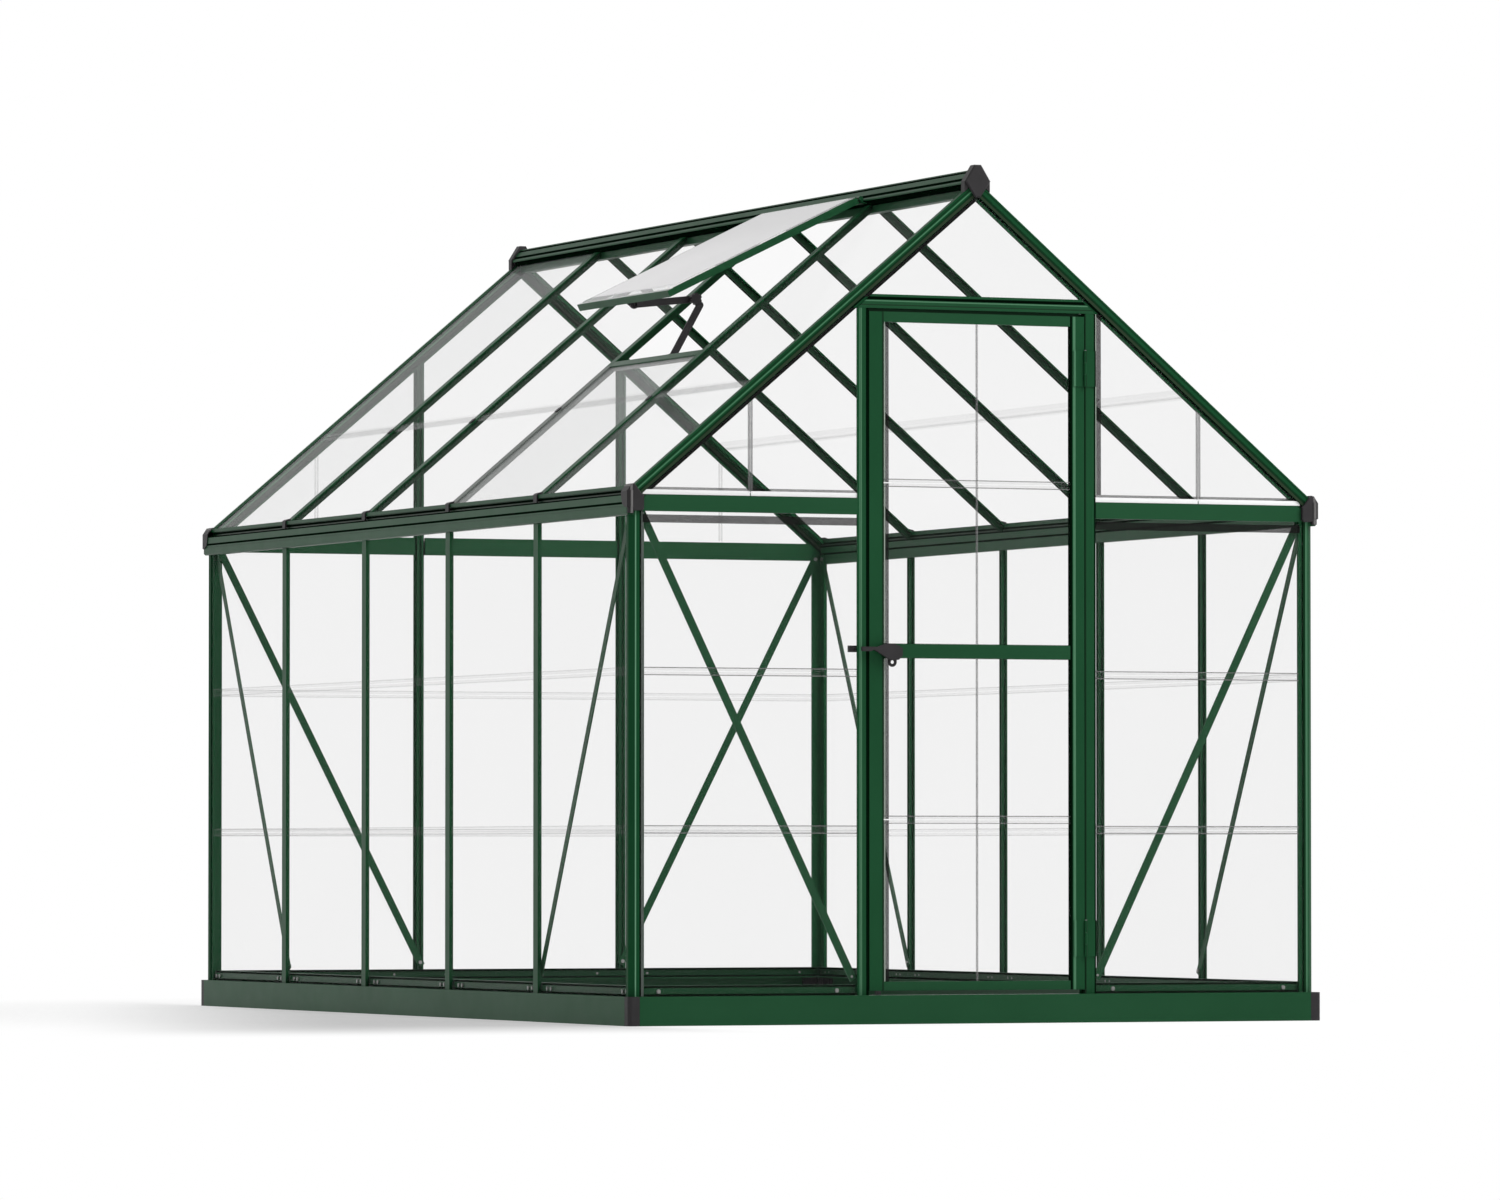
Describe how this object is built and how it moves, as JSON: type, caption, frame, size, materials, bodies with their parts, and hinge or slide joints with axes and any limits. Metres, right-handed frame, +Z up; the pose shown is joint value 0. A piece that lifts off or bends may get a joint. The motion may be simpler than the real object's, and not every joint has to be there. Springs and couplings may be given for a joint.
{
  "type": "greenhouse",
  "caption": "Apex greenhouse with a green aluminium frame, clear panes, a hinged front door with a lever handle, gutters along both eaves and a roof vent held by a folding stay.",
  "frame": {"origin": "centre of the rectangle that the base rails stand on, at ground level", "axes": "+Z up, +Y from the door towards the back wall, +X to the right for a person facing the door"},
  "size_m": [1.851, 3.06, 2.0904],
  "materials": {
    "green_frame": "green powder coat, satin",
    "black_plastic": "satin moulded",
    "clear_pane": "clear sheet",
    "clear_strip": "clear extrusion",
    "bolt_steel": "zinc plated"
  },
  "bodies": {
    "frame": {"base_rail_front": "green_frame", "base_rail_back": "green_frame", "base_rail_left": "green_frame", "base_rail_right": "green_frame", "corner_posts": "green_frame", "side_wall_bars": "green_frame", "back_wall_bars": "green_frame", "door_posts": "green_frame", "door_header": "green_frame", "side_sills": "green_frame", "end_sills": "green_frame", "gutter_left": "green_frame", "gutter_right": "green_frame", "ridge_beam": "green_frame", "gable_rafters": "green_frame", "roof_bars": "green_frame", "eave_ties_front": "green_frame", "eave_ties_back": "green_frame", "side_braces": "green_frame", "end_braces": "green_frame", "vent_sill": "green_frame", "vent_hinge_rail": "green_frame", "hinge_post_leaves": "green_frame", "base_corners": "black_plastic", "gutter_end_caps": "black_plastic", "ridge_caps": "black_plastic", "roof_clips": "black_plastic", "latch_keeper": "black_plastic", "stay_sill_bracket": "black_plastic", "left_wall_panes": "clear_pane", "right_wall_panes": "clear_pane", "front_wall_panes": "clear_pane", "back_wall_panes": "clear_pane", "gable_panes": "clear_pane", "left_roof_panes": "clear_pane", "right_roof_panes": "clear_pane", "wall_pane_joiners": "clear_strip", "roof_pane_joiners": "clear_strip", "sill_bolts": "bolt_steel", "brace_bolts": "bolt_steel", "hinge_pins": "bolt_steel"},
    "door": {"door_stiles": "green_frame", "door_top_rail": "green_frame", "door_mid_rail": "green_frame", "door_bottom_rail": "green_frame", "door_panes": "clear_pane", "door_pane_joiners": "clear_strip", "hinge_door_leaves": "green_frame", "handle_plate": "black_plastic", "door_catch": "black_plastic"},
    "handle": {"outer_handle": "black_plastic", "inner_handle": "black_plastic"},
    "vent": {"vent_top_rail": "green_frame", "vent_bottom_rail": "green_frame", "vent_side_rails": "green_frame", "vent_pane": "clear_pane", "stay_vent_bracket": "black_plastic"},
    "stay_lower": {"stay_lower_arm": "black_plastic"},
    "stay_upper": {"stay_upper_arm": "black_plastic"},
    "knob": {"stay_knob": "black_plastic"}
  },
  "joints": [
    {"name": "door_swing", "type": "hinge", "parent": "frame", "child": "door", "pos_m": [0.289, -1.5147, 0.9], "axis": [0, 0, 1], "range_deg": [0, 115]},
    {"name": "handle_turn", "type": "hinge", "parent": "door", "child": "handle", "pos_m": [-0.228, -1.5105, 0.90338], "axis": [0, -1, 0], "range_deg": [0, 85]},
    {"name": "vent_tilt", "type": "hinge", "parent": "frame", "child": "vent", "pos_m": [-0.03796, -0.6, 2.0505], "axis": [0, 1, 0], "range_deg": [-15.5, 4]},
    {"name": "stay_lower_swing", "type": "hinge", "parent": "frame", "child": "stay_lower", "pos_m": [-0.41301, -0.57, 1.66361], "axis": [0, 1, 0], "range_deg": [-6, 21]},
    {"name": "stay_upper_fold", "type": "hinge", "parent": "stay_lower", "child": "stay_upper", "pos_m": [-0.35431, -0.57, 1.8103], "axis": [0, 1, 0], "range_deg": [-58, 15]},
    {"name": "knob_turn", "type": "hinge", "parent": "stay_lower", "child": "knob", "pos_m": [-0.35431, -0.57, 1.8103], "axis": [0, 1, 0], "continuous": true}
  ],
  "couplings": [
    {"joint": "stay_lower_swing", "follows": "vent_tilt", "ratio": -1.2891},
    {"joint": "stay_upper_fold", "follows": "vent_tilt", "ratio": 3.6228}
  ]
}
